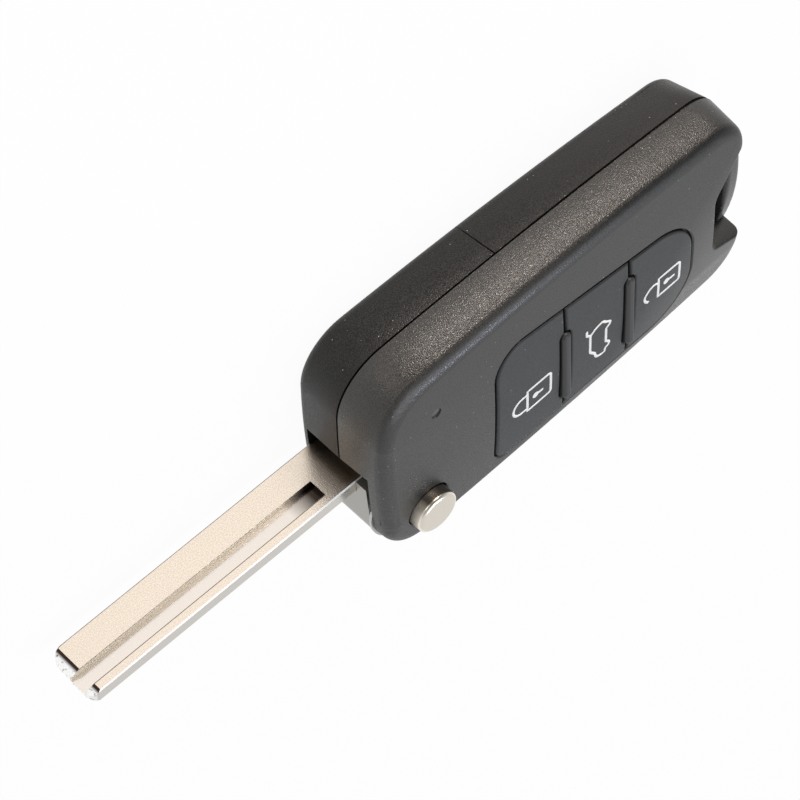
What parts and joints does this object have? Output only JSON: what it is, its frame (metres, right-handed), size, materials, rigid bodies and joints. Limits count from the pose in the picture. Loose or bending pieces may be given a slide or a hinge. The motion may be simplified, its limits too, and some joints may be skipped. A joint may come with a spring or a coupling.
{
  "type": "flip key remote shell",
  "caption": "Hand-held car key remote shell with push buttons, a chrome release button and a metal blade that folds into a channel along its side.",
  "frame": {"origin": "centre of the flat back", "axes": "+X along the blade towards its tip, +Z out of the button face, +Y towards the folding channel"},
  "size_m": [0.1171, 0.0371, 0.0185],
  "materials": {
    "black_case": "fine spark texture",
    "button_rubber": "matte",
    "silicone": "matte",
    "tray_plastic": "moulded",
    "led_plastic": "smoked clear",
    "chrome": "polished",
    "hub_metal": "satin",
    "blade_nickel": "satin nickel",
    "steel": "bright"
  },
  "bodies": {
    "case": {"front_cover": "black_case", "rear_case": "black_case", "keypad_membrane": "silicone", "board_tray": "tray_plastic", "led_window": "led_plastic", "spring_seat": "tray_plastic", "hub_screw": "steel", "thrust_washer": "tray_plastic", "blade_stop": "silicone", "transponder_plug": "tray_plastic", "case_screws": "steel"},
    "battery_door": {"battery_cover": "black_case"},
    "blade_unit": {"flip_hub": "hub_metal", "key_blade": "blade_nickel", "blade_pin": "steel", "flip_spring": "steel"},
    "release": {"release_button": "chrome"},
    "lock_key": {"lock_button": "button_rubber"},
    "trunk_key": {"trunk_button": "button_rubber"},
    "unlock_key": {"unlock_button": "button_rubber"}
  },
  "joints": [
    {"name": "blade_flip", "type": "hinge", "parent": "case", "child": "blade_unit", "pos_m": [0.0276, 0.0103, 0], "axis": [0, 0, 1], "range_deg": [0, 180]},
    {"name": "release_press", "type": "slide", "parent": "blade_unit", "child": "release", "axis": [0, 0, -1], "range_m": [0, 0.0018], "stiffness_N_per_m": 800, "springref_m": -0.002, "deforming": ["flip_spring"]},
    {"name": "lock_press", "type": "slide", "parent": "case", "child": "lock_key", "axis": [0, 0, -1], "range_m": [0, 0.0005], "stiffness_N_per_m": 2000, "springref_m": -0.0003},
    {"name": "trunk_press", "type": "slide", "parent": "case", "child": "trunk_key", "axis": [0, 0, -1], "range_m": [0, 0.0005], "stiffness_N_per_m": 2000, "springref_m": -0.0003},
    {"name": "unlock_press", "type": "slide", "parent": "case", "child": "unlock_key", "axis": [0, 0, -1], "range_m": [0, 0.0005], "stiffness_N_per_m": 2000, "springref_m": -0.0003},
    {"name": "battery_cover_off", "type": "slide", "parent": "case", "child": "battery_door", "axis": [0, 0, -1], "range_m": [0, 0.012]}
  ]
}
